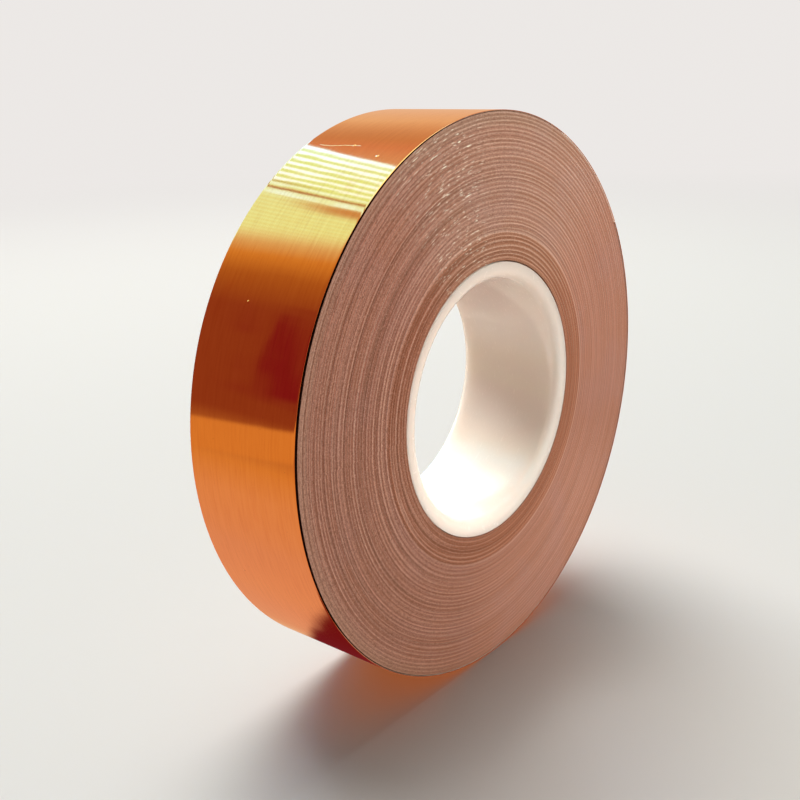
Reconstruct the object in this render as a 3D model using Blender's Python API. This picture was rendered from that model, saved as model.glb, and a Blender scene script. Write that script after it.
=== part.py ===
"""A roll of copper foil tape on a plastic core, standing on its rim.

The roll's axis is parallel to Y and the ground is z = 0, right under the axis. Angles are measured
about the axis, from +X towards +Z. The tape is a laminate of copper foil, adhesive film and a
release liner. It is wound so that each turn's copper faces out: the wound turns are one plain ring,
and the last turn is made layer by layer. That turn is slack on the -X side. Its free end lies on
the +X side, where the liner lifts off the roll on one hinge line and the foil peels off the liner
on another.
"""

import math

import bmesh
import bpy
from mathutils import Matrix, Vector

MM = 0.001

# Tape: its width and the thickness of its layers.
TAPE_WIDTH = 20.0 * MM
FOIL_THICKNESS = 0.032 * MM
ADHESIVE_THICKNESS = 0.030 * MM
LINER_THICKNESS = 0.075 * MM

# Core: a turned plastic sleeve with rounded lips, flush with the tape but for a hair.
CORE_BORE_RADIUS = 19.0 * MM
CORE_WALL = 2.5 * MM
CORE_WIDTH = 19.9 * MM
CORE_INNER_LIP = 0.9 * MM
CORE_OUTER_LIP = 0.35 * MM
LIP_STEPS = 4

# Wound turns.
WOUND_RADIUS = 43.4 * MM

# Starter tab: the short tape that fixes the inner end to the core.
TAB_THICKNESS = 0.08 * MM
TAB_START = 77.5
TAB_END = 107.5
TAB_WIDTH = 18.0 * MM

# Clearances between pieces that touch on the real roll.
TAB_CLEARANCE = 0.04 * MM
LAYER_CLEARANCE = 0.02 * MM
WRAP_CLEARANCE = 0.03 * MM
END_GAP = 0.15 * MM

# Free end: where the last turn's end begins to lift, and where it stops.
HINGE_ANGLE = 62.5
TIP_ANGLE = 32.5

# Slack of the last turn: the largest gap under it, and where the gap opens and closes.
SLACK = 0.5 * MM
SLACK_START = 97.5
SLACK_END = 262.5

# Round pieces have flats every STEP degrees, with one flat lying on the ground.
STEP = 5.0

CORE_RADIUS = CORE_BORE_RADIUS + CORE_WALL
TAB_RADIUS = CORE_RADIUS + TAB_CLEARANCE
WOUND_BORE_RADIUS = TAB_RADIUS + TAB_THICKNESS + TAB_CLEARANCE
LINER_RADIUS = WOUND_RADIUS + WRAP_CLEARANCE
ADHESIVE_RADIUS = LINER_RADIUS + LINER_THICKNESS + LAYER_CLEARANCE
FOIL_RADIUS = ADHESIVE_RADIUS + ADHESIVE_THICKNESS + LAYER_CLEARANCE
OUTER_RADIUS = FOIL_RADIUS + FOIL_THICKNESS
END_GAP_ANGLE = math.degrees(END_GAP / OUTER_RADIUS)
CENTRE = Vector((0.0, 0.0, OUTER_RADIUS))

# Each layer of the tape: name, inner radius, thickness.
LAYERS = (
    ("liner", LINER_RADIUS, LINER_THICKNESS),
    ("adhesive", ADHESIVE_RADIUS, ADHESIVE_THICKNESS),
    ("foil", FOIL_RADIUS, FOIL_THICKNESS),
)


def clear_scene():
    for obj in list(bpy.data.objects):
        bpy.data.objects.remove(obj, do_unlink=True)


def material(name, colour, roughness, metallic=0.0):
    made = bpy.data.materials.new(name)
    made.use_nodes = True
    shader = made.node_tree.nodes["Principled BSDF"]
    shader.inputs["Base Color"].default_value = (*colour, 1.0)
    shader.inputs["Roughness"].default_value = roughness
    shader.inputs["Metallic"].default_value = metallic
    made.diffuse_color = (*colour, 1.0)
    return made


def add_object(name, bm, surface, parent=None):
    """Turns a bmesh in world space into an object, whose origin is its parent's or the ground."""
    bmesh.ops.recalc_face_normals(bm, faces=bm.faces)
    mesh = bpy.data.meshes.new(name)
    obj = bpy.data.objects.new(name, mesh)
    bpy.context.scene.collection.objects.link(obj)
    if parent is not None:
        bpy.context.view_layer.update()
        bm.transform(parent.matrix_world.inverted())
        obj.parent = parent
    bm.to_mesh(mesh)
    bm.free()
    mesh.materials.append(surface)
    mesh.shade_smooth()
    mesh.set_sharp_from_angle(angle=math.radians(30.0))
    return obj


def on_flats(radius, angle):
    """The distance from the axis, at this angle, of a polygon whose flats are radius away."""
    from_middle = (angle + STEP / 2.0) % STEP - STEP / 2.0
    return radius / math.cos(math.radians(from_middle))


def place(radius, angle, y):
    """The point at this radius and angle about the roll's axis."""
    turn = math.radians(angle)
    return CENTRE + Vector((radius * math.cos(turn), y, radius * math.sin(turn)))


def corner_angles(start, end):
    """start, the polygon's corners between start and end, and end."""
    first = math.floor((start - STEP / 2.0) / STEP) + 1
    last = math.ceil((end - STEP / 2.0) / STEP) - 1
    inside = [i * STEP + STEP / 2.0 for i in range(first, last + 1)]
    return [start] + [a for a in inside if start + 0.01 < a < end - 0.01] + [end]


def slack(angle):
    """How far the last turn stands off the turns under it at this angle."""
    share = (angle - SLACK_START) / (SLACK_END - SLACK_START)
    if not 0.0 < share < 1.0:
        return 0.0
    return SLACK * math.sin(math.pi * share) ** 2


def turned_ring(profile):
    """Spins a closed (radius, y) outline once round the axis."""
    bm = bmesh.new()
    start = STEP / 2.0
    verts = [bm.verts.new(place(on_flats(r, start), start, y)) for r, y in profile]
    edges = [bm.edges.new((a, b)) for a, b in zip(verts, verts[1:] + verts[:1])]
    bmesh.ops.spin(
        bm,
        geom=verts + edges,
        cent=CENTRE,
        axis=(0.0, -1.0, 0.0),
        angle=math.radians(360.0),
        steps=round(360.0 / STEP),
        use_merge=True,
    )
    return bm


def band(inner_radius, thickness, start, end, width, stand_off=lambda angle: 0.0):
    """A strip of one layer, bent round the axis from start to end degrees."""
    bm = bmesh.new()
    rows = []
    for angle in corner_angles(start, end):
        inner = inner_radius + stand_off(angle)
        corners = (
            (inner, -width / 2.0),
            (inner + thickness, -width / 2.0),
            (inner + thickness, width / 2.0),
            (inner, width / 2.0),
        )
        rows.append([bm.verts.new(place(on_flats(r, angle), angle, y)) for r, y in corners])
    for here, there in zip(rows, rows[1:]):
        for i in range(4):
            j = (i + 1) % 4
            bm.faces.new((here[i], here[j], there[j], there[i]))
    bm.faces.new(rows[0])
    bm.faces.new(list(reversed(rows[-1])))
    return bm


def lip(centre_radius, centre_y, radius, first_turn):
    """The points of a quarter-round lip, first_turn degrees being where it starts."""
    points = []
    for i in range(LIP_STEPS + 1):
        turn = math.radians(first_turn + 90.0 * i / LIP_STEPS)
        points.append((centre_radius + radius * math.cos(turn), centre_y + radius * math.sin(turn)))
    return points


def core_outline():
    """The core's section, from its far outer lip round to its near outer lip."""
    half = CORE_WIDTH / 2.0
    outer = CORE_RADIUS - CORE_OUTER_LIP
    inner = CORE_BORE_RADIUS + CORE_INNER_LIP
    return (
        lip(outer, half - CORE_OUTER_LIP, CORE_OUTER_LIP, 0.0)
        + lip(inner, half - CORE_INNER_LIP, CORE_INNER_LIP, 90.0)
        + lip(inner, CORE_INNER_LIP - half, CORE_INNER_LIP, 180.0)
        + lip(outer, CORE_OUTER_LIP - half, CORE_OUTER_LIP, 270.0)
    )


def make_core():
    surface = material("core_plastic", (0.86, 0.82, 0.78), 0.28)
    add_object("core", turned_ring(core_outline()), surface)


def make_starter_tab():
    surface = material("starter_tab_film", (0.80, 0.74, 0.55), 0.45)
    bm = band(TAB_RADIUS, TAB_THICKNESS, TAB_START, TAB_END, TAB_WIDTH)
    add_object("starter_tab", bm, surface)


def make_wound_tape():
    surface = material("wound_tape_edges", (0.42, 0.24, 0.16), 0.55, 0.4)
    half = TAPE_WIDTH / 2.0
    outline = (
        (WOUND_RADIUS, half),
        (WOUND_BORE_RADIUS, half),
        (WOUND_BORE_RADIUS, -half),
        (WOUND_RADIUS, -half),
    )
    add_object("wound_tape", turned_ring(outline), surface)


def layer_surfaces():
    return {
        "liner": material("liner_paper", (0.86, 0.80, 0.70), 0.6),
        "adhesive": material("adhesive_film", (0.72, 0.62, 0.40), 0.4),
        "foil": material("copper_foil", (0.85, 0.42, 0.22), 0.22, 1.0),
    }


def make_last_turn(surfaces):
    """The last turn, from the hinge line round to just short of the tip."""
    start = HINGE_ANGLE + END_GAP_ANGLE
    end = TIP_ANGLE + 360.0 - END_GAP_ANGLE
    for name, radius, thickness in LAYERS:
        bm = band(radius, thickness, start, end, TAPE_WIDTH, slack)
        add_object("last_turn_" + name, bm, surfaces[name])


def make_pivot(name, parent=None):
    """An empty on the hinge line, at the outer face of the foil where the free end starts."""
    root = HINGE_ANGLE - END_GAP_ANGLE
    empty = bpy.data.objects.new(name, None)
    empty.empty_display_size = 5.0 * MM
    bpy.context.scene.collection.objects.link(empty)
    if parent is None:
        empty.matrix_world = Matrix.Translation(place(on_flats(OUTER_RADIUS, root), root, 0.0))
    else:
        empty.parent = parent
    return empty


def make_free_end(surfaces):
    """The free end: the liner turns on the lift hinge, and the foil with its adhesive on it."""
    lift = make_pivot("tape_end_lift_axis")
    peel = make_pivot("foil_peel_axis", parent=lift)
    for name, radius, thickness in LAYERS:
        bm = band(radius, thickness, TIP_ANGLE, HINGE_ANGLE - END_GAP_ANGLE, TAPE_WIDTH)
        pivot = lift if name == "liner" else peel
        add_object("free_end_" + name, bm, surfaces[name], parent=pivot)
    bpy.context.view_layer.update()


def main():
    clear_scene()
    make_core()
    make_starter_tab()
    make_wound_tape()
    surfaces = layer_surfaces()
    make_last_turn(surfaces)
    make_free_end(surfaces)


main()
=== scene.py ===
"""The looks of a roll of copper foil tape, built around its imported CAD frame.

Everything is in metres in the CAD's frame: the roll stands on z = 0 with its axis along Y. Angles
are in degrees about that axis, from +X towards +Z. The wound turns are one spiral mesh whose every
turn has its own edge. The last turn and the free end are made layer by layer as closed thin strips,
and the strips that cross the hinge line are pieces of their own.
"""

import math

import bpy
import numpy as np
from mathutils import Matrix, Vector


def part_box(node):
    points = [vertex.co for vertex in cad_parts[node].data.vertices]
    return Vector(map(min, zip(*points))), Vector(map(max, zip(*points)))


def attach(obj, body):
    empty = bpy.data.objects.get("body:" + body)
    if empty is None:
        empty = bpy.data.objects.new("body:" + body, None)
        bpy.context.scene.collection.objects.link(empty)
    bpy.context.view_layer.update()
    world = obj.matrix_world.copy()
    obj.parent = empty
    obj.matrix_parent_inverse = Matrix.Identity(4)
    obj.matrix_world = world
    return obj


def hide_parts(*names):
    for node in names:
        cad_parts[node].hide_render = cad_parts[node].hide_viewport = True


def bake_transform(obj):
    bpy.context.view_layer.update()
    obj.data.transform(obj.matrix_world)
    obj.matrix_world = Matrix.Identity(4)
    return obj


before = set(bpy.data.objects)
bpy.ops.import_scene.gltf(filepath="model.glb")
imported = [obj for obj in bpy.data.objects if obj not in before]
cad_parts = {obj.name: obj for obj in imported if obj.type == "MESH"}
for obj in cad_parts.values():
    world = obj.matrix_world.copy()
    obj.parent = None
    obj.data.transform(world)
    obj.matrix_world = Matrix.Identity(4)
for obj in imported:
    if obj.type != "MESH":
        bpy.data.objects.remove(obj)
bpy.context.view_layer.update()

MM = 0.001

# Sizes that the frame gives.
WOUND_LOW, WOUND_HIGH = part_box("wound_tape")
CORE_LOW, CORE_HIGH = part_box("core")
AXIS_HEIGHT = (WOUND_LOW.z + WOUND_HIGH.z) / 2
WOUND_RADIUS = (WOUND_HIGH.z - WOUND_LOW.z) / 2
CORE_RADIUS = (CORE_HIGH.z - CORE_LOW.z) / 2
CORE_WIDTH = CORE_HIGH.y - CORE_LOW.y
TAPE_WIDTH = WOUND_HIGH.y - WOUND_LOW.y
CENTRE = Vector((0.0, 0.0, AXIS_HEIGHT))


def outer_radius_of(node):
    """The outer radius of a layer of the last turn, which is round at its top."""
    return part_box(node)[1].z - AXIS_HEIGHT


# The tape's layers: outer radius of each on the last turn, and its thickness.
FOIL_RADIUS = outer_radius_of("last_turn_foil")
ADHESIVE_RADIUS = outer_radius_of("last_turn_adhesive")
LINER_RADIUS = outer_radius_of("last_turn_liner")
FOIL_THICKNESS = 0.032 * MM
ADHESIVE_THICKNESS = 0.030 * MM
LINER_THICKNESS = 0.075 * MM
TURN_PITCH = FOIL_THICKNESS + ADHESIVE_THICKNESS + LINER_THICKNESS

# Core section: a sleeve with rounded lips, and a low bead round each end.
CORE_BORE_RADIUS = CORE_RADIUS - 2.5 * MM
CORE_INNER_LIP = 1.5 * MM
CORE_OUTER_LIP = 0.15 * MM
CORE_BEAD_RISE = 0.10 * MM
CORE_BEAD_WIDTH = 0.8 * MM
CORE_BEAD_SLOPE = 0.2 * MM
CORE_STEPS = 240

# Starter tab under the first turn.
TAB_THICKNESS = 0.08 * MM
TAB_CLEARANCE = 0.04 * MM
TAB_SPAN = (77.5, 107.5)
TAB_WIDTH = 18.0 * MM
WOUND_BORE_RADIUS = CORE_RADIUS + TAB_THICKNESS + 2 * TAB_CLEARANCE

# Where the free end starts and stops, and the stretches that take the two bends.
HINGE_ANGLE = 62.5
TIP_ANGLE = 32.5
END_GAP_ANGLE = 0.2
LIFT_BEND = (60.0, 65.0)
PEEL_BEND = (54.5, 60.0)

# A strip's rows of points are a degree apart and finer in each bend, and clear of its two ends.
BEND_STEPS = ((LIFT_BEND, 0.2), (PEEL_BEND, 0.22))
END_CLEARANCE = 0.08

# The near edge of the last turn stands off the roll between these angles, and its liner and
# adhesive are set back from the foil's edge there, so that the gap is dark. The set-back is full
# where the bump over its span has risen past 1 / SET_BACK_RISE.
SLACK = 0.33 * MM
SLACK_SPAN = (104.0, 226.0)
SET_BACK = 0.45 * MM
SET_BACK_SPAN = (98.0, 222.0)
SET_BACK_RISE = 4.0

# The slit edges of the foil curl inwards a little, and the layers under it are narrower.
CURL_WIDTH = 0.14 * MM
CURL_DROP = 0.010 * MM
CURL_END = 1.6 * CURL_WIDTH
EDGE_INSET = 0.06 * MM
HIDDEN_WIDTH = TAPE_WIDTH - 2.6 * EDGE_INSET

# The foil isn't quite even: each ripple's height, its length along the tape, how far it is skewed,
# the width and start of that skew across the tape, and the seeds of the ripple and of its skew.
RIPPLES = (
    (0.0011 * MM, 2.6 * MM, 0.8, 4.0 * MM, 40.0, 3, 5),
    (0.0060 * MM, 7.0 * MM, 0.9, 7.0 * MM, 20.0, 12, 7),
)
NOISE_VALUES = 4096

# The wound turns are one spiral from the starter tab out to the last turn. The outermost one is
# bare copper from the free end's tip to a little past the hinge.
TURNS = int((WOUND_RADIUS - WOUND_BORE_RADIUS) / TURN_PITCH) - 1
PITCH = (WOUND_RADIUS - WOUND_BORE_RADIUS) / (TURNS + 1)
STEPS_PER_TURN = 150
BARE_SPAN = HINGE_ANGLE - TIP_ANGLE + 4.0
NEAR_SEED, FAR_SEED = 21, 31

# Where the tape wandered as it was wound: a raised ring on the side every few turns.
RING_TURNS = 4.5
RING_HEIGHT = 0.024 * MM

# The material slots of the wound turns, and of the two layers under the last turn's foil.
EDGES, COPPER_FACE, LINER_FACE, SHADED_FACE = range(4)
OWN_FACE, CUT_FACE = range(2)

SHARP_ANGLE = 35.0


# --- Meshes -------------------------------------------------------------------------------------


def mesh_object(name, points, faces, slots=None, uv=None):
    """An object from arrays: points, quads or larger polygons, a material index for each face."""
    mesh = bpy.data.meshes.new(name)
    mesh.from_pydata([tuple(p) for p in points], [], faces)
    if slots is not None:
        mesh.polygons.foreach_set("material_index", np.asarray(slots, np.int32))
    if uv is not None:
        layer = mesh.uv_layers.new(name="tape")
        corners = np.zeros(len(mesh.loops), np.int32)
        mesh.loops.foreach_get("vertex_index", corners)
        layer.data.foreach_set("uv", np.asarray(uv, np.float32)[corners].ravel())
    mesh.validate()
    mesh.shade_smooth()
    mesh.set_sharp_from_angle(angle=math.radians(SHARP_ANGLE))
    obj = bpy.data.objects.new(name, mesh)
    bpy.context.scene.collection.objects.link(obj)
    return obj


def on_roll(radius, angle, y):
    """Points at this radius and angle about the roll's axis, as an array of x, y, z."""
    turn = np.radians(angle)
    radius, turn, y = np.broadcast_arrays(radius, turn, y)
    x = radius * np.cos(turn)
    z = AXIS_HEIGHT + radius * np.sin(turn)
    return np.stack([x, y, z], axis=-1)


def smooth_noise(x, seed):
    """Seeded 1-D value noise between -1 and 1, smooth, with a new value at each whole x."""
    draw = np.random.default_rng(seed).uniform(-1.0, 1.0, NOISE_VALUES)
    cell = np.floor(x).astype(int)
    share = x - cell
    share = share * share * (3.0 - 2.0 * share)
    return draw[cell % NOISE_VALUES] * (1.0 - share) + draw[(cell + 1) % NOISE_VALUES] * share


def bump_between(angle, span):
    """0 outside the span, rising to 1 in its middle."""
    share = np.clip((angle - span[0]) / (span[1] - span[0]), 0.0, 1.0)
    return np.sin(math.pi * share) ** 2


def last_turn_shape(angle, y):
    """How far the last turn stands off a true circle at an angle and a place across the tape."""
    arc = np.radians(angle) * FOIL_RADIUS
    lift = SLACK * bump_between(angle, SLACK_SPAN) * (0.5 - y / TAPE_WIDTH)
    for height, length, skew, width, start, seed, skew_seed in RIPPLES:
        skewed = skew * smooth_noise(y / width + start, skew_seed)
        lift = lift + height * smooth_noise(arc / length + skewed, seed)
    return lift


def strip_angles(start, end):
    """Angles from start to end: a degree apart, and finer where the layers bend."""
    angles = set(np.arange(math.ceil(start), math.floor(end) + 0.5, 1.0))
    for (low, high), step in BEND_STEPS:
        angles |= set(np.round(np.arange(low, high, step), 4))
    inside = sorted(a for a in angles if start + END_CLEARANCE < a < end - END_CLEARANCE)
    return np.array([start, *inside, end])


def sheet_faces(rows, n, cut_slot):
    """Faces and slots of two skins of rows x n points each, outer one first, closed at the rim."""
    under = rows * n
    last = n - 1
    faces, slots = [], []
    for i in range(rows - 1):
        a, b = i * n, (i + 1) * n
        for j in range(last):
            faces.append((a + j, a + j + 1, b + j + 1, b + j))
            faces.append((under + a + j, under + b + j, under + b + j + 1, under + a + j + 1))
            slots += [OWN_FACE, OWN_FACE]
        faces.append((a, b, under + b, under + a))
        faces.append((a + last, under + a + last, under + b + last, b + last))
        slots += [cut_slot, cut_slot]
    end = (rows - 1) * n
    for j in range(last):
        faces.append((j, under + j, under + j + 1, j + 1))
        faces.append((end + j, end + j + 1, under + end + j + 1, under + end + j))
        slots += [OWN_FACE, OWN_FACE]
    return faces, slots


def strip(
    name,
    radius,
    thickness,
    span,
    width=TAPE_WIDTH,
    across=9,
    shape=last_turn_shape,
    set_back=0.0,
    cut_slot=OWN_FACE,
):
    """A closed strip of one layer, bent round the axis. radius is its outer face's.

    set_back is how far its edges are drawn in where the last turn stands off the roll, and
    cut_slot is the material slot of its two long edges.
    """
    angles = strip_angles(*span)
    edge, flat = (1.0 - 2.0 * wide / width for wide in (CURL_WIDTH, CURL_END))
    share = np.array([-1.0, -edge, *np.linspace(-flat, flat, across), edge, 1.0])
    angle_grid, share_grid = np.meshgrid(angles, share, indexing="ij")
    drawn_in = np.clip(SET_BACK_RISE * bump_between(angle_grid, SET_BACK_SPAN), 0.0, 1.0)
    y_grid = share_grid * (width / 2 - set_back * drawn_in)
    outer = radius + shape(angle_grid, y_grid)
    if set_back == 0.0 and width == TAPE_WIDTH:
        outer -= CURL_DROP * (np.abs(share_grid) > edge + 1e-6)
    skins = [on_roll(r, angle_grid, y_grid).reshape(-1, 3) for r in (outer, outer - thickness)]
    uv = np.stack([np.radians(angle_grid) * radius, y_grid], axis=-1).reshape(-1, 2)
    faces, slots = sheet_faces(len(angles), len(share), cut_slot)
    return mesh_object(name, np.concatenate(skins), faces, slots, np.concatenate([uv, uv]))


def turned(name, outline, steps):
    """A closed outline of (radius, y) points turned round the axis."""
    angles = np.arange(steps) * 360.0 / steps
    radius, y = np.array(outline).T
    points = on_roll(radius[None, :], angles[:, None], y[None, :]).reshape(-1, 3)
    n = len(outline)
    faces = []
    for i in range(steps):
        a, b = i * n, ((i + 1) % steps) * n
        for j in range(n):
            k = (j + 1) % n
            faces.append((a + j, b + j, b + k, a + k))
    return mesh_object(name, points, faces)


def quarter(centre_radius, centre_y, radius, start, steps=10):
    """The points of a quarter circle of an outline, from start degrees on."""
    turns = np.radians(start + np.linspace(0.0, 90.0, steps + 1))
    return [(centre_radius + radius * math.cos(t), centre_y + radius * math.sin(t)) for t in turns]


def make_core():
    """The sleeve: round inner lips, and a low bead round each end that centres the tape."""
    half = CORE_WIDTH / 2
    outer = CORE_RADIUS + CORE_BEAD_RISE - CORE_OUTER_LIP
    inner = CORE_BORE_RADIUS + CORE_INNER_LIP
    bead_end = half - CORE_BEAD_WIDTH
    sleeve_end = bead_end - CORE_BEAD_SLOPE
    outline = (
        quarter(outer, half - CORE_OUTER_LIP, CORE_OUTER_LIP, 0.0)
        + quarter(inner, half - CORE_INNER_LIP, CORE_INNER_LIP, 90.0)
        + quarter(inner, CORE_INNER_LIP - half, CORE_INNER_LIP, 180.0)
        + quarter(outer, CORE_OUTER_LIP - half, CORE_OUTER_LIP, 270.0)
        + [(CORE_RADIUS + CORE_BEAD_RISE, -bead_end), (CORE_RADIUS, -sleeve_end)]
        + [(CORE_RADIUS, sleeve_end), (CORE_RADIUS + CORE_BEAD_RISE, bead_end)]
    )
    return turned("core_sleeve", outline, CORE_STEPS)


def edge_offset(place, angle, seed):
    """How far the tape's edge stands out sideways, at a place counted in turns from the core.

    The rings are unevenly spaced, each turn is a little off its ring, and all of it is stronger
    at the upper left.
    """
    drift = 0.45 * smooth_noise(place / 11.0 + 30.0, seed + 3)
    crests = np.cos(2.0 * math.pi * (place / RING_TURNS + drift)) ** 3
    ragged = 0.4 * smooth_noise(place * 1.9 + 9.0, seed + 2) + 0.5 * smooth_noise(place / 5.3, seed)
    swing = 0.65 + 0.35 * np.cos(np.radians(angle - 120.0))
    return RING_HEIGHT * (crests + ragged) * swing


def make_wound_tape():
    """The wound turns as one spiral: each turn's two edges, and the steps from turn to turn."""
    per = STEPS_PER_TURN
    count = TURNS * per
    last = count - per
    place = np.arange(count + 1) / per
    angle = TIP_ANGLE + 360.0 * (TURNS - place)
    inner = WOUND_BORE_RADIUS + PITCH * place
    near = -TAPE_WIDTH / 2 + EDGE_INSET - edge_offset(place, angle, NEAR_SEED)
    far = TAPE_WIDTH / 2 - EDGE_INSET + edge_offset(place, angle, FAR_SEED)
    # Four rails, each count + 1 points long: inner and outer on the near side, then on the far one.
    rails = [(inner, near), (inner + PITCH, near), (inner, far), (inner + PITCH, far)]
    points = np.concatenate([on_roll(radius, angle, y) for radius, y in rails])
    arc = np.radians(angle) * WOUND_RADIUS
    uv = np.concatenate([np.stack([arc, y], axis=-1) for _, y in rails])
    a, b, c, d = (i * (count + 1) for i in range(4))
    faces, slots = [], []
    for i in range(count):
        faces.append((a + i, b + i, b + i + 1, a + i + 1))
        faces.append((c + i, c + i + 1, d + i + 1, d + i))
        slots += [EDGES, EDGES]
    # The steps to the next turn's edge show the face of whichever turn stands out further.
    for i in range(last):
        j = i + per
        faces.append((b + i, a + j, a + j + 1, b + i + 1))
        slots.append(COPPER_FACE if near[i] < near[j] else LINER_FACE)
        faces.append((d + i, d + i + 1, c + j + 1, c + j))
        slots.append(COPPER_FACE if far[i] > far[j] else LINER_FACE)
    # The outermost turn's face is bare copper under the free end, and painted dark as shade elsewhere.
    for i in range(last, count):
        faces.append((b + i, d + i, d + i + 1, b + i + 1))
        slots.append(COPPER_FACE if (angle[i] - TIP_ANGLE) % 360.0 < BARE_SPAN else SHADED_FACE)
    for i in range(per):
        faces.append((a + i, a + i + 1, c + i + 1, c + i))
        slots.append(EDGES)
    faces.append((b + count, a + count, b + last, d + last, c + count, d + count))
    faces.append((a, b, a + per, c + per, d, c))
    slots += [EDGES, EDGES]
    return mesh_object("wound_turns", points, faces, slots, uv)


# --- Materials ----------------------------------------------------------------------------------


COPPER = (0.93, 0.305, 0.094)
COPPER_DEEP = (0.90, 0.285, 0.082)
COPPER_STAIN = (0.86, 0.22, 0.055)
COPPER_STREAK = (0.76, 0.20, 0.055)
COPPER_PIT = (0.35, 0.10, 0.03)
EDGE_LIGHT = (0.49, 0.218, 0.152)
EDGE_DARK = (0.44, 0.182, 0.115)
EDGE_PATCH = (0.46, 0.215, 0.165)
# Pale lines of the side, also the painted highlight on its ring crests.
EDGE_LINE = (0.84, 0.50, 0.38)
# Dark lines of the side, also the painted shade in its ring troughs.
EDGE_GROOVE = (0.16, 0.060, 0.034)
EDGE_GREYED = (0.40, 0.25, 0.17)
EDGE_COPPER = (0.50, 0.18, 0.085)
EDGE_SPECK = (0.10, 0.045, 0.03)
INNER_LIGHT = (0.44, 0.165, 0.09)
INNER_DARK = (0.32, 0.102, 0.048)
# A painted glint on the foil edges of the wound side.
PAINTED_GLINT = (1.0, 0.95, 0.78)
# Painted light: how much paler the wound side is made over its top and at its lower right.
TOP_PAINTED_LIGHT = (1.05, 1.22, 1.25)
LOW_RIGHT_PAINTED_LIGHT = (1.27, 1.35, 1.39)
# Painted shade: foil deep in the narrow gap behind the loose last turn.
SHADED = (0.030, 0.011, 0.007)
SHADED_DEEP = (0.020, 0.008, 0.006)
LINER = (0.86, 0.80, 0.69)
LINER_FIBRE = (0.74, 0.66, 0.53)
LINER_CLOUD = (0.66, 0.57, 0.44)
ADHESIVE = (0.72, 0.44, 0.24)
ADHESIVE_DEEP = (0.62, 0.33, 0.15)
PLASTIC = (0.87, 0.705, 0.615)
PLASTIC_DEEP = (0.85, 0.68, 0.59)
TAB = (0.70, 0.59, 0.37)
TAB_DEEP = (0.60, 0.48, 0.27)
FLOOR = (0.75, 0.72, 0.695)

# The side's rings are darker inside this radius, and a pale line goes round them there.
DARK_RINGS_RADIUS = CORE_RADIUS + 4.5 * MM

# Small nicks in the foil: the angle about the axis and the place across the tape of each.
NICKS = (
    (114.75, 1.0 * MM),
    (118.0, -5.0 * MM),
    (151.0, 2.5 * MM),
    (203.0, 5.0 * MM),
    (338.0, -4.0 * MM),
)
NICK_RADIUS = 0.28 * MM
NICK_DEPTH = 0.05 * MM

# A faint scratch across the foil: its angle, where it starts and ends, and its size.
SCRATCH_ANGLE = 115.0
SCRATCH_START, SCRATCH_END = -0.3 * MM, 7.0 * MM
START_FADE, END_FADE = 0.3 * MM, 0.5 * MM
SCRATCH_WIDTH = 0.12 * MM
SCRATCH_DEPTH = 0.016 * MM
SCRATCH_WAVER = 1.2 * MM


class Surface:
    """A material and its node tree, with short ways to add and join nodes."""

    def __init__(self, name):
        self.material = bpy.data.materials.new(name)
        self.material.use_nodes = True
        self.tree = self.material.node_tree
        self.shader = self.tree.nodes["Principled BSDF"]

    def node(self, kind, inputs=None, **settings):
        made = self.tree.nodes.new(kind)
        for key, value in settings.items():
            setattr(made, key, value)
        for key, value in (inputs or {}).items():
            self.put(made.inputs[key], value)
        return made

    def put(self, socket, value):
        if isinstance(value, bpy.types.NodeSocket):
            self.tree.links.new(value, socket)
        elif isinstance(value, tuple) and len(value) == 3 and socket.type == "RGBA":
            socket.default_value = (*value, 1.0)
        else:
            socket.default_value = value

    def set(self, **values):
        """Shader inputs by name, with _ for each space."""
        for key, value in values.items():
            self.put(self.shader.inputs[key.replace("_", " ")], value)

    def math(self, operation, *values):
        return self.node("ShaderNodeMath", dict(enumerate(values)), operation=operation).outputs[0]

    def product(self, first, *others):
        for other in others:
            first = self.math("MULTIPLY", first, other)
        return first

    def vector_math(self, operation, *values):
        """A vector, or a number where the operation gives one."""
        made = self.node("ShaderNodeVectorMath", dict(enumerate(values)), operation=operation)
        gives_number = operation in ("LENGTH", "DISTANCE", "DOT_PRODUCT")
        return made.outputs["Value" if gives_number else "Vector"]

    def scaled(self, vector, scale):
        return self.vector_math("MULTIPLY", vector, scale)

    def noise(self, vector, scale, detail=2.0, roughness=0.5, distortion=0.0):
        inputs = {
            "Vector": vector,
            "Scale": scale,
            "Detail": detail,
            "Roughness": roughness,
            "Distortion": distortion,
        }
        return self.node("ShaderNodeTexNoise", inputs).outputs["Fac"]

    def drawn_noise(self, tape, along, across, detail=3.0, roughness=0.6):
        """Noise with this many cells in a metre along the tape and across it."""
        return self.noise(self.scaled(tape, (along, across, 1.0)), 1.0, detail, roughness)

    def ramp(self, value, low, high, out_low=0.0, out_high=1.0):
        inputs = {0: value, 1: low, 2: high, 3: out_low, 4: out_high}
        made = self.node("ShaderNodeMapRange", inputs, interpolation_type="SMOOTHSTEP")
        return made.outputs[0]

    def mix(self, share, first, second, blend="MIX"):
        inputs = {0: share, 6: first, 7: second}
        return self.node("ShaderNodeMix", data_type="RGBA", blend_type=blend, inputs=inputs).outputs[2]

    def layered(self, colour, layers):
        """A colour with others laid over it in turn, each by its own share."""
        for share, over in layers:
            colour = self.mix(share, colour, over)
        return colour

    def bump(self, height, strength, distance, normal=None):
        inputs = {"Height": height, "Strength": strength, "Distance": distance}
        if normal is not None:
            inputs["Normal"] = normal
        return self.node("ShaderNodeBump", inputs).outputs["Normal"]

    def cosine_to(self, around, angle):
        """The cosine between a unit vector about the roll's axis and the one at this angle."""
        turn = math.radians(angle)
        return self.vector_math("DOT_PRODUCT", around, (math.cos(turn), 0.0, math.sin(turn)))

    def object_point(self):
        return self.node("ShaderNodeTexCoord").outputs["Object"]

    def tape_point(self):
        """Along the tape and across it, in metres."""
        return self.node("ShaderNodeUVMap", uv_map="tape").outputs["UV"]


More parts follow.
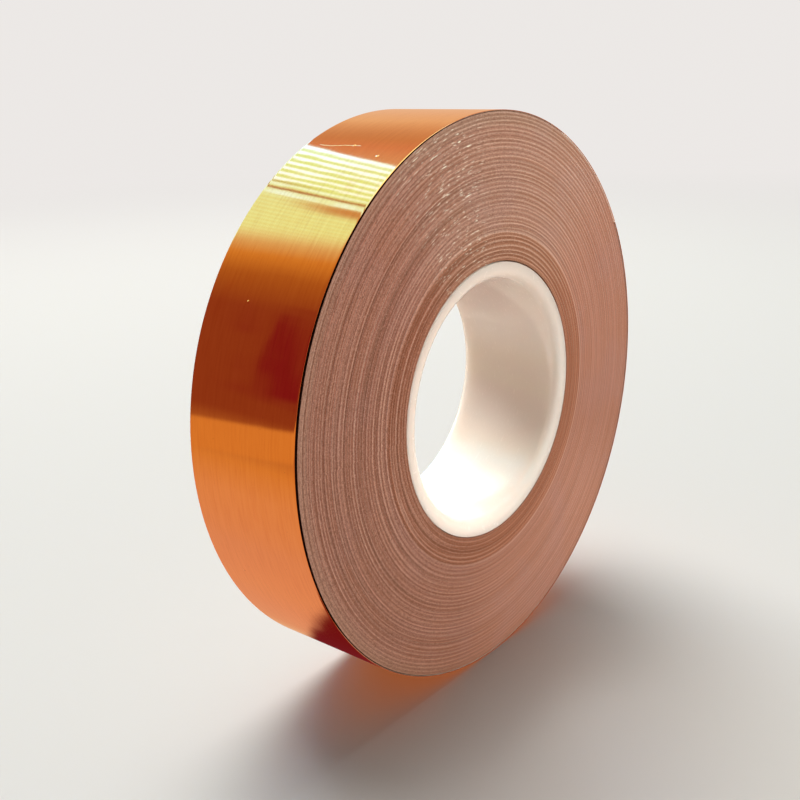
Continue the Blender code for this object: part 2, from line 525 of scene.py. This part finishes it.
def scratch(s, tape):
    """The height of the foil's scratch: a fine wavering line that fades out at both ends."""
    place = s.node("ShaderNodeSeparateXYZ", {0: tape})
    along, across = place.outputs[0], place.outputs[1]
    waver = s.product(s.math("SUBTRACT", s.noise(tape, 260.0, 2.0), 0.5), SCRATCH_WAVER)
    centre = math.radians(SCRATCH_ANGLE) * FOIL_RADIUS
    off = s.math("SUBTRACT", s.math("ADD", along, waver), centre)
    return s.product(
        s.ramp(s.math("ABSOLUTE", off), SCRATCH_WIDTH, 0.0),
        s.ramp(across, SCRATCH_START - START_FADE, SCRATCH_START + START_FADE),
        s.ramp(across, SCRATCH_END + END_FADE, SCRATCH_END - END_FADE),
    )


def copper_surface():
    """Bright rolled copper foil: fine grain along the tape, stains, pits, nicks and a scratch."""
    s = Surface("copper_foil")
    tape = s.tape_point()
    grain = s.drawn_noise(tape, 140.0, 6500.0)
    streaks = s.drawn_noise(tape, 45.0, 1900.0)
    stain = s.drawn_noise(tape, 110.0, 190.0)
    short_streaks = s.drawn_noise(tape, 210.0, 2300.0)
    pits = s.ramp(s.noise(tape, 2600.0, 1.0), 0.78, 0.81)
    colour = s.layered(
        COPPER,
        (
            (s.ramp(streaks, 0.3, 0.7), COPPER_DEEP),
            (s.ramp(stain, 0.55, 0.78, 0.0, 0.35), COPPER_STAIN),
            (s.ramp(short_streaks, 0.42, 0.72, 0.0, 0.32), COPPER_STREAK),
            (s.product(pits, 0.4), COPPER_PIT),
        ),
    )
    normal = s.bump(s.math("ADD", grain, streaks), 0.06, 0.01 * MM)
    for angle, y in NICKS:
        away = s.vector_math("DISTANCE", tape, (math.radians(angle) * FOIL_RADIUS, y, 0.0))
        normal = s.bump(s.ramp(away, NICK_RADIUS, 0.0), 1.0, NICK_DEPTH, normal)
    normal = s.bump(scratch(s, tape), 1.0, SCRATCH_DEPTH, normal)
    rough = s.ramp(grain, 0.25, 0.75, 0.045, 0.075)
    s.set(Base_Color=colour, Metallic=1.0, Roughness=rough, Normal=normal)
    return s.material


class SideSurface(Surface):
    """The wound side's material, which knows where on the side a point is."""

    def __init__(self, name):
        super().__init__(name)
        self.point = self.object_point()
        from_axis = self.vector_math("SUBTRACT", self.point, tuple(CENTRE))
        flat = self.scaled(from_axis, (1.0, 0.0, 1.0))
        self.radius = self.vector_math("LENGTH", flat)
        self.around = self.vector_math("NORMALIZE", flat)
        parts = self.node("ShaderNodeSeparateXYZ", {0: self.around})
        angle = self.math("ARCTAN2", parts.outputs[2], parts.outputs[0])
        from_tip = self.math("SUBTRACT", angle, math.radians(TIP_ANGLE))
        # Turns from the core: out counts them straight out, and along counts them along the spiral.
        self.out = self.math("DIVIDE", self.math("SUBTRACT", self.radius, WOUND_BORE_RADIUS), PITCH)
        self.along = self.math("ADD", self.out, self.math("DIVIDE", from_tip, 2 * math.pi))

    def near(self, angle, low, high, out_low=0.0, out_high=1.0):
        """A ramp over the cosine of how far round the side a point is from this angle."""
        return self.ramp(self.cosine_to(self.around, angle), low, high, out_low, out_high)

    def ring_noise(self, per_turn, spread, detail):
        """Noise that follows the turns: quick across them, slow round them."""
        slow = self.scaled(self.around, (spread, 0.0, spread))
        lift = self.node("ShaderNodeCombineXYZ", {1: self.product(self.along, per_turn)})
        return self.noise(self.vector_math("ADD", slow, lift.outputs[0]), 1.0, detail, 0.6)


def side_tone(s, rough_side):
    """The side's broad tones: groups of turns, greyer near the rim and darker near the core."""
    groups = s.ring_noise(0.2, 0.5, 2.0)
    patches = s.noise(s.point, 90.0, 2.0)
    greyed = s.ramp(s.radius, WOUND_RADIUS - 2.6 * MM, WOUND_RADIUS - 0.8 * MM, 0.0, 0.45)
    inner = s.ramp(s.radius, DARK_RINGS_RADIUS + 0.1 * MM, DARK_RINGS_RADIUS - 0.1 * MM)
    inner_groups = s.ring_noise(0.34, 0.6, 1.0)
    return s.layered(
        EDGE_DARK,
        (
            (s.ramp(groups, 0.36, 0.64), EDGE_LIGHT),
            (s.ramp(patches, 0.45, 0.65, 0.0, 0.6), EDGE_PATCH),
            (s.product(greyed, rough_side), EDGE_GREYED),
            (inner, s.mix(s.ramp(inner_groups, 0.36, 0.62), INNER_DARK, INNER_LIGHT)),
        ),
    )


def side_rings(s, wave):
    """Pale and dark lines that follow the turns, as layers of share and colour, with painted
    highlights on the rings' crests and painted shade in their troughs.
    """
    # Painted highlight and shade: the rings' crests are painted pale and their troughs dark, more
    # strongly over the top and at the lower left than on the right.
    over_top = s.near(78.0, 0.35, 1.0)
    lower_left = s.near(215.0, 0.30, 0.95, 0.0, 0.75)
    painted_relief_strength = s.math("ADD", 0.25, s.math("MAXIMUM", over_top, lower_left))
    uneven_wave = s.math("ADD", wave, s.product(s.ring_noise(0.9, 6.0, 1.0), 0.8))
    crest_highlight = s.ramp(uneven_wave, 0.75, 1.45)
    trough_shade = s.ramp(wave, -0.3, -1.0)
    pale_ring = s.product(
        s.ramp(s.radius, DARK_RINGS_RADIUS - 0.1 * MM, DARK_RINGS_RADIUS + 0.1 * MM),
        s.ramp(s.radius, DARK_RINGS_RADIUS + 0.4 * MM, DARK_RINGS_RADIUS + 0.2 * MM),
    )
    fine = s.ring_noise(1.1, 0.6, 1.0)
    dark_lines = s.ring_noise(0.45, 0.35, 1.0)
    turn = s.math("FLOOR", s.along)
    own_tone = s.node("ShaderNodeTexWhiteNoise", {"W": turn}, noise_dimensions="1D").outputs[0]
    left_lines = s.ring_noise(0.44, 0.5, 1.0)
    left_side = s.near(165.0, 0.1, 0.8)
    return (
        (s.product(pale_ring, 0.35), EDGE_LINE),
        (s.product(crest_highlight, painted_relief_strength, 0.42), EDGE_LINE),
        (s.product(trough_shade, painted_relief_strength, 0.27), EDGE_GROOVE),
        (s.ramp(fine, 0.42, 0.68, 0.0, 0.28), EDGE_GROOVE),
        (s.ramp(dark_lines, 0.66, 0.74, 0.0, 0.45), EDGE_GROOVE),
        (s.ramp(own_tone, 0.0, 1.0, 0.0, 0.16), EDGE_GROOVE),
        (s.product(left_side, s.ramp(left_lines, 0.54, 0.68, 0.0, 0.50)), EDGE_GROOVE),
        (s.product(left_side, s.ramp(left_lines, 0.46, 0.33, 0.0, 0.36)), EDGE_LINE),
    )


def side_grain(s, hatch, rough_side):
    """Marks shorter than a ring: hatching, speckle and dark specks, as layers in the same form."""
    speckle = s.noise(s.point, 5200.0, 2.0, 0.7)
    specks = s.ramp(s.noise(s.point, 3300.0, 1.0), 0.73, 0.78)
    hatch_share = s.math("ADD", 0.10, s.product(rough_side, 0.52))
    speckle_share = s.math("ADD", 0.12, s.product(rough_side, 0.43))
    return (
        (s.product(s.ramp(hatch, 0.5, 0.7), hatch_share), EDGE_GROOVE),
        (s.product(s.ramp(speckle, 0.5, 0.72), speckle_share), EDGE_GROOVE),
        (s.product(s.ramp(speckle, 0.47, 0.28), rough_side, 0.38), EDGE_LINE),
        (s.product(specks, 0.6), EDGE_SPECK),
    )


def edge_surface():
    """The wound side: copper, adhesive and liner edges turn by turn, in rings of uneven tone, with
    painted light and shade.
    """
    s = SideSurface("wound_tape_edges")
    rough_side = s.near(160.0, -0.45, 0.45)
    jitter = s.product(s.math("SUBTRACT", s.ring_noise(0.10, 0.7, 2.0), 0.5), 1.3)
    ring = s.math("ADD", s.math("DIVIDE", s.along, RING_TURNS), jitter)
    wave = s.math("COSINE", s.product(ring, 2 * math.pi))
    hatch = s.ring_noise(1.0, 60.0, 3.0)
    layer = s.math("FRACT", s.along)
    foil_edge = s.product(s.ramp(layer, 0.74, 0.80), s.ramp(layer, 1.0, 0.95))
    colour = s.layered(side_tone(s, rough_side), side_rings(s, wave))
    colour = s.mix(s.product(foil_edge, 0.3), colour, EDGE_COPPER)
    colour = s.layered(colour, side_grain(s, hatch, rough_side))
    # Painted light: the side is made paler over the top and at the lower right.
    lit_low_right = s.product(s.near(297.0, 0.70, 1.0), s.ramp(s.out, 0.0, 110.0, 0.35, 1.0))
    for share, tint in ((s.near(82.0, 0.60, 1.0), TOP_PAINTED_LIGHT), (lit_low_right, LOW_RIGHT_PAINTED_LIGHT)):
        colour = s.mix(share, colour, s.mix(1.0, colour, tint, "MULTIPLY"))
    # Painted glints: short lengths of foil edge near the top left are painted pale as highlights.
    painted_glints = s.product(s.ramp(s.ring_noise(0.9, 26.0, 1.0), 0.665, 0.69), s.near(109.0, 0.95, 0.995))
    colour = s.mix(painted_glints, colour, PAINTED_GLINT)
    height = s.math("ADD", s.product(wave, 0.3), s.product(hatch, 0.4))
    s.set(Base_Color=colour, Metallic=s.product(foil_edge, 0.3), Roughness=0.55)
    s.set(Normal=s.bump(height, 0.35, 0.05 * MM))
    return s.material


def shadow_surface():
    """Foil inside the narrow gap behind the loose last turn, dulled and painted near black as shade.
    """
    s = Surface("foil_in_shadow")
    grain = s.drawn_noise(s.tape_point(), 140.0, 3000.0, 2.0, 0.5)
    s.set(Base_Color=s.mix(grain, SHADED, SHADED_DEEP), Roughness=0.7, Specular_IOR_Level=0.1)
    return s.material


def liner_surface():
    """Siliconised paper: pale, with faint fibres and a soft sheen."""
    s = Surface("liner_paper")
    point = s.object_point()
    fibres = s.noise(s.scaled(point, (1.0, 2.5, 1.0)), 1400.0, 4.0, 0.65, 1.2)
    cloud = s.noise(point, 160.0, 2.0)
    colour = s.mix(s.ramp(fibres, 0.3, 0.7), LINER_FIBRE, LINER)
    colour = s.mix(s.ramp(cloud, 0.4, 0.7, 0.0, 0.3), colour, LINER_CLOUD)
    s.set(Base_Color=colour, Roughness=s.ramp(fibres, 0.2, 0.8, 0.38, 0.55))
    s.set(Normal=s.bump(fibres, 0.25, 0.02 * MM))
    return s.material


def adhesive_surface():
    """The tacky film: honey-clear, faintly mottled, with the copper showing through."""
    s = Surface("adhesive_film")
    tape = s.tape_point()
    mottle = s.noise(tape, 900.0, 3.0)
    drag = s.drawn_noise(tape, 70.0, 1300.0, 2.0, 0.5)
    colour = s.mix(s.ramp(mottle, 0.3, 0.7), ADHESIVE_DEEP, ADHESIVE)
    s.set(Base_Color=colour, Metallic=0.25, Roughness=s.ramp(drag, 0.3, 0.7, 0.22, 0.38))
    s.set(Normal=s.bump(s.math("ADD", mottle, drag), 0.3, 0.03 * MM))
    s.set(Coat_Weight=0.5, Coat_Roughness=0.2)
    return s.material


def plastic_surface():
    """The core's moulded plastic: warm white, glossy, with a slight orange-peel and scuffs."""
    s = Surface("core_plastic")
    point = s.object_point()
    peel = s.noise(point, 420.0, 2.0)
    scuffs = s.noise(s.scaled(point, (1.0, 6.0, 1.0)), 900.0, 3.0, 0.6, 0.8)
    cloud = s.noise(point, 60.0, 1.0)
    colour = s.mix(s.ramp(cloud, 0.35, 0.65), PLASTIC, PLASTIC_DEEP)
    s.set(Base_Color=colour, Roughness=s.ramp(scuffs, 0.35, 0.75, 0.17, 0.30))
    s.set(Normal=s.bump(peel, 0.05, 0.1 * MM))
    s.set(Subsurface_Weight=0.8, Subsurface_Radius=(1.0, 0.85, 0.8), Subsurface_Scale=6.0 * MM)
    s.set(Coat_Weight=0.8, Coat_Roughness=0.06, Coat_Normal=s.bump(peel, 0.03, 0.1 * MM))
    return s.material


def tab_surface():
    """The starter tab: tan film, slightly rough."""
    s = Surface("starter_tab_film")
    weave = s.noise(s.object_point(), 1800.0, 3.0)
    s.set(Base_Color=s.mix(s.ramp(weave, 0.3, 0.7), TAB_DEEP, TAB))
    s.set(Roughness=s.ramp(weave, 0.3, 0.7, 0.4, 0.55))
    return s.material


# --- Pieces -------------------------------------------------------------------------------------


def finish_piece(pieces, obj, materials, body=None, replaces=(), bend=None):
    """Gives a piece its materials, hides the parts it replaces, and ties it to its body in the frame;
    a piece on a bend only has its place baked in.
    """
    pieces.append(obj)
    for material in materials:
        obj.data.materials.append(material)
    if bend is None:
        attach(obj, body)
    else:
        first, second, (low, high) = bend
        ends = [Vector(on_roll(FOIL_RADIUS, angle, 0.0)) for angle in (high, low)]
        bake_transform(obj)
    if replaces:
        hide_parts(*replaces)


def make_starter_tab():
    """The tab under the first turn, which lies true to the core."""
    return strip(
        "starter_tab_film",
        CORE_RADIUS + TAB_CLEARANCE + TAB_THICKNESS,
        TAB_THICKNESS,
        TAB_SPAN,
        width=TAB_WIDTH,
        across=5,
        shape=lambda angle, y: 0.0 * angle,
    )


def make_pieces():
    """Every piece of the roll, the core first."""
    pieces = []
    copper, edges = copper_surface(), edge_surface()
    liner, adhesive = liner_surface(), adhesive_surface()
    wound = (edges, copper, liner, shadow_surface())
    finish_piece(pieces, make_core(), (plastic_surface(),), "roll", ("core",))
    finish_piece(pieces, make_wound_tape(), wound, "roll", ("wound_tape",))
    finish_piece(
        pieces, make_starter_tab(), (tab_surface(),), "roll", ("starter_tab",)
    )
    last_turn_span = (LIFT_BEND[1], TIP_ANGLE + 360.0 - END_GAP_ANGLE)
    flap_span = (TIP_ANGLE, LIFT_BEND[0])
    layers = (
        ("foil", FOIL_RADIUS, FOIL_THICKNESS, copper, "copper_foil", TAPE_WIDTH, 41),
        ("adhesive", ADHESIVE_RADIUS, ADHESIVE_THICKNESS, adhesive, "adhesive_film", HIDDEN_WIDTH, 9),
        ("liner", LINER_RADIUS, LINER_THICKNESS, liner, "liner_paper", HIDDEN_WIDTH, 9),
    )
    for name, radius, thick, material, slot, width, across in layers:
        size = {"width": width, "across": across}
        # The long edges of the two layers under the foil look like the rest of the wound side.
        under = {} if name == "foil" else {"set_back": SET_BACK, "cut_slot": CUT_FACE}
        surfaces = (material,) if name == "foil" else (material, edges)
        turn = strip("last_turn_" + name + "_skin", radius, thick, last_turn_span, **size, **under)
        finish_piece(pieces, turn, surfaces, "roll", ("last_turn_" + name,))
        crease = strip("lift_crease_" + name, radius, thick, LIFT_BEND, **size)
        finish_piece(pieces, crease, (material,), bend=("roll", "liner_end", LIFT_BEND))
        flap = strip("free_end_" + name + "_skin", radius, thick, flap_span, **size)
        replaced = ("free_end_" + name,)
        if name == "liner":
            finish_piece(pieces, flap, (material,), "liner_end", replaced)
        else:
            bend = ("liner_end", "foil_end", PEEL_BEND)
            finish_piece(pieces, flap, (material,), replaces=replaced, bend=bend)
    return pieces


# --- Stage --------------------------------------------------------------------------------------


FLOOR_RADIUS = 6.0
FADE_START, FADE_END = 0.25, 0.9
BACKDROP = (0.84, 0.81, 0.79)
AMBIENT = (0.13, 0.13, 0.13)
WARM = (1.0, 0.965, 0.93)

# Radiance of what the foil mirrors. Its own colour turns these greens and blues into yellow.
SLAT_BRIGHT = (1.30, 3.60, 8.00)
SLAT_DIM = (0.83, 2.30, 1.25)
SLAT_PALE = (0.98, 3.00, 4.20)
WALL = (0.92, 2.60, 2.80)
WALL_DIM = (0.89, 2.20, 1.95)
GAP = (0.95, 2.70, 3.20)
GAP_BRIGHT = (1.05, 3.20, 6.50)
BAR = (0.48, 0.34, 0.10)
BLOTCH = (0.68, 0.75, 0.50)
SOFT_BOX = (2.0, 3.9, 3.4)
MAROON = (0.22, 0.02, 0.055)
FOOT = (0.175, 0.013, 0.018)
TABLE_FAR = (0.74, 0.57, 0.22)

# What mirrors see about the roll's axis, from +X over the top: angle and radiance.
BANDS = (
    (0.0, (0.84, 0.50, 0.28)),
    (14.0, (0.86, 0.62, 0.37)),
    (30.0, (0.87, 0.76, 0.43)),
    (44.0, (0.68, 0.54, 0.30)),
    (49.0, (0.66, 0.50, 0.27)),
    (55.0, (0.74, 0.54, 0.35)),
    (104.0, (0.90, 1.80, 1.80)),
    (117.0, (0.72, 0.60, 0.18)),
    (126.0, (0.45, 0.28, 0.09)),
    (140.0, (0.30, 0.12, 0.07)),
    (186.0, (0.29, 0.11, 0.065)),
    (208.0, (0.75, 0.60, 0.25)),
    (222.0, (0.80, 0.69, 0.50)),
    (248.0, (0.79, 0.67, 0.58)),
    (270.0, (0.82, 0.62, 0.42)),
    (300.0, (0.80, 0.45, 0.24)),
    (360.0, (0.84, 0.50, 0.28)),
)

# The mirrored shapes, as spans about the roll's axis in degrees, and spans sideways along it, where
# 1 is straight along +Y. The table's edge is at a slant: it moves on by its slant, in degrees, for
# each unit sideways of its middle. The soft box's sides move by its slant for each degree past
# its middle.
TABLE_ABOUT = (190.0, 202.0)
TABLE_SLANT, TABLE_MIDDLE = 67.0, 0.71
MAROON_ABOUT, MAROON_SIDEWAYS = (146.0, 172.0), (0.60, 0.722)
FOOT_ABOUT, FOOT_SIDEWAYS = (262.0, 330.0), (0.52, 0.6115)
SOFT_BOX_ABOUT, SOFT_BOX_SIDEWAYS = (16.0, 82.0), (0.38, 0.558)
SOFT_BOX_SLANT, SOFT_BOX_MIDDLE = 0.00113, 44.0

# The window's parts, in degrees about the slats' own axis, given by azimuth and elevation. The
# slats fan out sideways, by so many degrees for each unit of it. A bright one is centred on the
# crest. The blotch comes in over one span and fades out over another.
SLAT_AXIS = (28.0, -40.0)
SLAT_PITCH = 1.45
SLAT_CREST = -25.95
SLAT_FAN, SLAT_FAN_MIDDLE = 8.0, 0.72
WALL_SPAN = (-60.0, -36.5)
WALL_PITCH = 1.1
WINDOW_SPAN = (-36.4, -25.65)
UPPER_BAR_SPAN = (-35.55, -35.35)
BAR_SPAN = (-37.35, -36.95)
GAP_SPAN = (-38.7, -37.8)
BLOTCH_IN = (-38.9, -39.3)
BLOTCH_OUT = (-42.6, -40.2)


def direction(azimuth, elevation):
    """The unit vector at an azimuth from +X towards +Y and an elevation, in degrees."""
    a, e = math.radians(azimuth), math.radians(elevation)
    return Vector((math.cos(e) * math.cos(a), math.cos(e) * math.sin(a), math.sin(e)))


def make_floor():
    """The pale table top. Far from the roll it fades into the backdrop."""
    bpy.ops.mesh.primitive_circle_add(vertices=128, radius=FLOOR_RADIUS, fill_type="NGON")
    floor = bpy.context.object
    floor.name = "floor"
    s = Surface("floor_paper")
    s.set(Base_Color=FLOOR, Roughness=0.8, Specular_IOR_Level=0.0)
    away = s.vector_math("LENGTH", s.object_point())
    glow = s.node("ShaderNodeEmission", {"Color": BACKDROP})
    inputs = {0: s.ramp(away, FADE_START, FADE_END), 1: s.shader.outputs[0], 2: glow.outputs[0]}
    faded = s.node("ShaderNodeMixShader", inputs)
    s.put(s.tree.nodes["Material Output"].inputs["Surface"], faded.outputs[0])
    floor.data.materials.append(s.material)
    floor.visible_glossy = False


class Sky(Surface):
    """The studio round the roll, as the world's node tree."""

    def __init__(self, name):
        self.world = bpy.data.worlds.new(name)
        self.world.use_nodes = True
        self.tree = self.world.node_tree
        self.shader = self.tree.nodes["Background"]
        self.toward = self.node("ShaderNodeTexCoord").outputs["Generated"]
        parts = self.node("ShaderNodeSeparateXYZ", {0: self.toward}).outputs
        turn = self.product(self.math("ARCTAN2", parts[2], parts[0]), 180.0 / math.pi)
        self.about = self.math("WRAP", turn, 360.0, 0.0)
        self.sideways = parts[1]
        self.uneven = self.math("SUBTRACT", self.noise(self.toward, 7.0, 2.0), 0.5)
        self.wobble = self.math("SUBTRACT", self.noise(self.toward, 55.0, 2.0), 0.5)

    def roughened(self, value, unevenness, amount):
        """A value with a share of noise added to it."""
        return self.math("ADD", value, self.product(unevenness, amount))

    def beyond(self, value, middle, slope):
        """How far a value is past a middle, times a slope."""
        return self.product(self.math("SUBTRACT", value, middle), slope)

    def turn_about(self, axis):
        """The angle of a direction about an axis, in degrees, from the most upward one."""
        side = axis.cross(Vector((0.0, 0.0, 1.0))).normalized()
        up = side.cross(axis)
        shares = [self.vector_math("DOT_PRODUCT", self.toward, tuple(v)) for v in (side, up)]
        return self.product(self.math("ARCTAN2", *shares), 180.0 / math.pi)

    def stripe(self, value, span, soft):
        """1 within a span, with soft edges outside it."""
        low, high = span
        return self.product(self.ramp(value, low - soft, low), self.ramp(value, high + soft, high))


def mirrored_bands(s):
    """The broad bands of light and dark that lie along the roll's axis."""
    bands = s.node("ShaderNodeValToRGB", {0: s.math("DIVIDE", s.about, 360.0)})
    stops = bands.color_ramp.elements
    while len(stops) > 1:
        stops.remove(stops[0])
    for i, (place, colour) in enumerate(BANDS):
        stop = stops[0] if i == 0 else stops.new(place / 360.0)
        stop.position = place / 360.0
        stop.color = (*colour, 1.0)
    return bands.outputs[0]


def table_layers(s):
    """The table's bright far end, the dark red shapes behind it, and a dark foot near the roll."""
    level = s.math("SUBTRACT", s.about, s.beyond(s.sideways, TABLE_MIDDLE, TABLE_SLANT))
    drawn_out = {0: s.product(s.about, 0.03), 1: s.product(s.sideways, 55.0)}
    streaks = s.noise(s.node("ShaderNodeCombineXYZ", drawn_out).outputs[0], 1.0, 2.0)
    maroon = s.product(
        s.stripe(s.roughened(s.about, s.uneven, 60.0), MAROON_ABOUT, 14.0),
        s.stripe(s.roughened(s.sideways, s.uneven, 0.06), MAROON_SIDEWAYS, 0.035),
        s.ramp(streaks, 0.34, 0.56),
        s.ramp(level, 189.0, 187.0),
    )
    foot = s.product(
        s.stripe(s.about, FOOT_ABOUT, 9.0),
        s.stripe(s.roughened(s.sideways, s.uneven, 0.008), FOOT_SIDEWAYS, 0.012),
    )
    return ((s.stripe(level, TABLE_ABOUT, 2.2), TABLE_FAR), (maroon, MAROON), (foot, FOOT))


def window_layers(s):
    """A slatted window with bars, and past its last slat a gap, a dull shape and a bright wall."""
    slat = s.roughened(s.turn_about(direction(*SLAT_AXIS)), s.wobble, 0.8)
    slat = s.math("ADD", slat, s.beyond(s.sideways, SLAT_FAN_MIDDLE, SLAT_FAN))
    rough_sideways = s.roughened(s.sideways, s.uneven, 0.06)
    in_front = s.ramp(s.sideways, 0.53, 0.56)

    steps = s.math("COSINE", s.product(slat, 2 * math.pi / WALL_PITCH))
    wall_tone = s.mix(s.ramp(steps, -0.6, 1.0), WALL_DIM, WALL)
    wall = s.product(
        s.stripe(slat, WALL_SPAN, 0.5), s.ramp(s.about, 112.0, 102.0), in_front
    )

    wave = s.math("COSINE", s.beyond(slat, SLAT_CREST, 2 * math.pi / SLAT_PITCH))
    dim = s.mix(s.ramp(slat, -27.8, -25.0), SLAT_DIM, SLAT_PALE)
    bright = s.mix(s.ramp(slat, -33.8, -37.2), SLAT_BRIGHT, SLAT_PALE)
    slats = s.mix(s.ramp(s.roughened(wave, s.wobble, 2.2), -0.5, 0.85), dim, bright)
    window = s.product(s.stripe(slat, WINDOW_SPAN, 0.25), in_front, s.ramp(s.about, 112.0, 104.0))

    upper_bar = s.product(
        s.stripe(slat, UPPER_BAR_SPAN, 0.25), s.ramp(rough_sideways, 0.69, 0.73), 0.8
    )
    bar = s.product(s.stripe(slat, BAR_SPAN, 0.2), in_front)
    gap = s.product(s.stripe(slat, GAP_SPAN, 0.4), in_front)
    gap_tone = s.mix(s.ramp(s.wobble, -0.15, 0.2), GAP, GAP_BRIGHT)
    blotch = s.product(
        s.ramp(slat, *BLOTCH_IN),
        s.ramp(slat, *BLOTCH_OUT),
        s.ramp(rough_sideways, 0.725, 0.68),
        in_front,
    )
    return (
        (wall, wall_tone),
        (window, slats),
        (upper_bar, BAR),
        (bar, BAR),
        (gap, gap_tone),
        (blotch, BLOTCH),
    )


def soft_box_layer(s):
    """A bright soft box at a slight slant, above the roll on its +X side."""
    slant = s.beyond(s.about, SOFT_BOX_MIDDLE, SOFT_BOX_SLANT)
    along = s.stripe(s.math("SUBTRACT", s.sideways, slant), SOFT_BOX_SIDEWAYS, 0.014)
    return s.product(s.stripe(s.about, SOFT_BOX_ABOUT, 8.0), along), SOFT_BOX


def make_world():
    """The studio: bands and shapes for mirrors, a dim tone for diffuse rays, a pale backdrop."""
    s = Sky("studio")
    layers = (*table_layers(s), *window_layers(s), soft_box_layer(s))
    rays = s.node("ShaderNodeLightPath").outputs
    plain = ((rays["Is Diffuse Ray"], AMBIENT), (rays["Is Camera Ray"], BACKDROP))
    s.set(Color=s.layered(mirrored_bands(s), layers + plain))
    bpy.context.scene.world = s.world


def add_area(name, azimuth, elevation, distance, size, power, target=CENTRE, colour=(1.0, 1.0, 1.0)):
    """A square lamp in a direction from its target and at a distance in metres, aimed at it."""
    data = bpy.data.lights.new(name, "AREA")
    data.shape = "SQUARE"
    data.size = size
    data.energy = power
    data.color = colour
    lamp = bpy.data.objects.new(name, data)
    lamp.location = target + direction(azimuth, elevation) * distance
    lamp.rotation_euler = (target - lamp.location).to_track_quat("-Z", "Y").to_euler()
    lamp.visible_glossy = False
    lamp.visible_camera = False
    bpy.context.scene.collection.objects.link(lamp)
    return lamp


def lit_only(lamp, name, pieces):
    """Lets a lamp light these pieces and nothing else."""
    group = bpy.data.collections.new(name)
    for piece in pieces:
        group.objects.link(piece)
    lamp.light_linking.receiver_collection = group


def make_lights(pieces):
    """A broad light overhead for everything, one in front for the roll, and two for the core."""
    add_area("overhead", 60.0, 66.0, distance=1.2, size=0.9, power=16.5, colour=WARM)
    window = add_area("window", 76.0, 44.0, distance=1.0, size=0.3, power=11.5)
    fill = add_area("front_fill", -58.0, 17.0, distance=0.205, size=0.06, power=0.24)
    # A narrow beam on the low left of the core's near rim, as the sunlight in the photo.
    rim = Vector(on_roll(CORE_RADIUS - 1.3 * MM, 240.0, CORE_LOW.y))
    glow = add_area("rim_glow", -90.0, 0.0, distance=0.4, size=0.01, power=0.0040, target=rim)
    glow.data.spread = math.radians(12.5)
    core = pieces[:1]
    lit_only(window, "window_lit", core)
    lit_only(glow, "rim_lit", core)
    lit_only(fill, "fill_lit", pieces)


def make_camera():
    """The view: a little above the roll, from its left front, aimed a few degrees off its centre."""
    azimuth, elevation = math.radians(-55.84), math.radians(17.56)
    pan, tilt, roll = math.radians(5.20), math.radians(-0.06), math.radians(0.24)
    distance = 3.742 * WOUND_RADIUS
    lens = 46.98
    level = math.cos(elevation)
    back = Vector((math.sin(azimuth) * level, -math.cos(azimuth) * level, math.sin(elevation)))
    right = Vector((0.0, 0.0, 1.0)).cross(back).normalized()
    up = back.cross(right)
    panned = back * math.cos(pan) + right * math.sin(pan)
    right = right * math.cos(pan) - back * math.sin(pan)
    tilted = panned * math.cos(tilt) + up * math.sin(tilt)
    up = up * math.cos(tilt) - panned * math.sin(tilt)
    rolled_right = right * math.cos(roll) + up * math.sin(roll)
    rolled_up = up * math.cos(roll) - right * math.sin(roll)
    data = bpy.data.cameras.new("camera")
    data.sensor_width = 36.0
    data.lens = lens
    data.clip_start = 0.01
    data.clip_end = 20.0
    camera = bpy.data.objects.new("camera", data)
    place = Matrix((rolled_right, rolled_up, tilted)).transposed().to_4x4()
    place.translation = Vector((0.0, WOUND_LOW.y, AXIS_HEIGHT)) + back * distance
    camera.matrix_world = place
    bpy.context.scene.collection.objects.link(camera)
    bpy.context.scene.camera = camera


def set_view():
    view = bpy.context.scene.view_settings
    view.view_transform = "Standard"
    view.look = "None"
    view.exposure = 0.0
    view.gamma = 1.0


make_camera()
pieces = make_pieces()
make_floor()
make_world()
make_lights(pieces)
set_view()
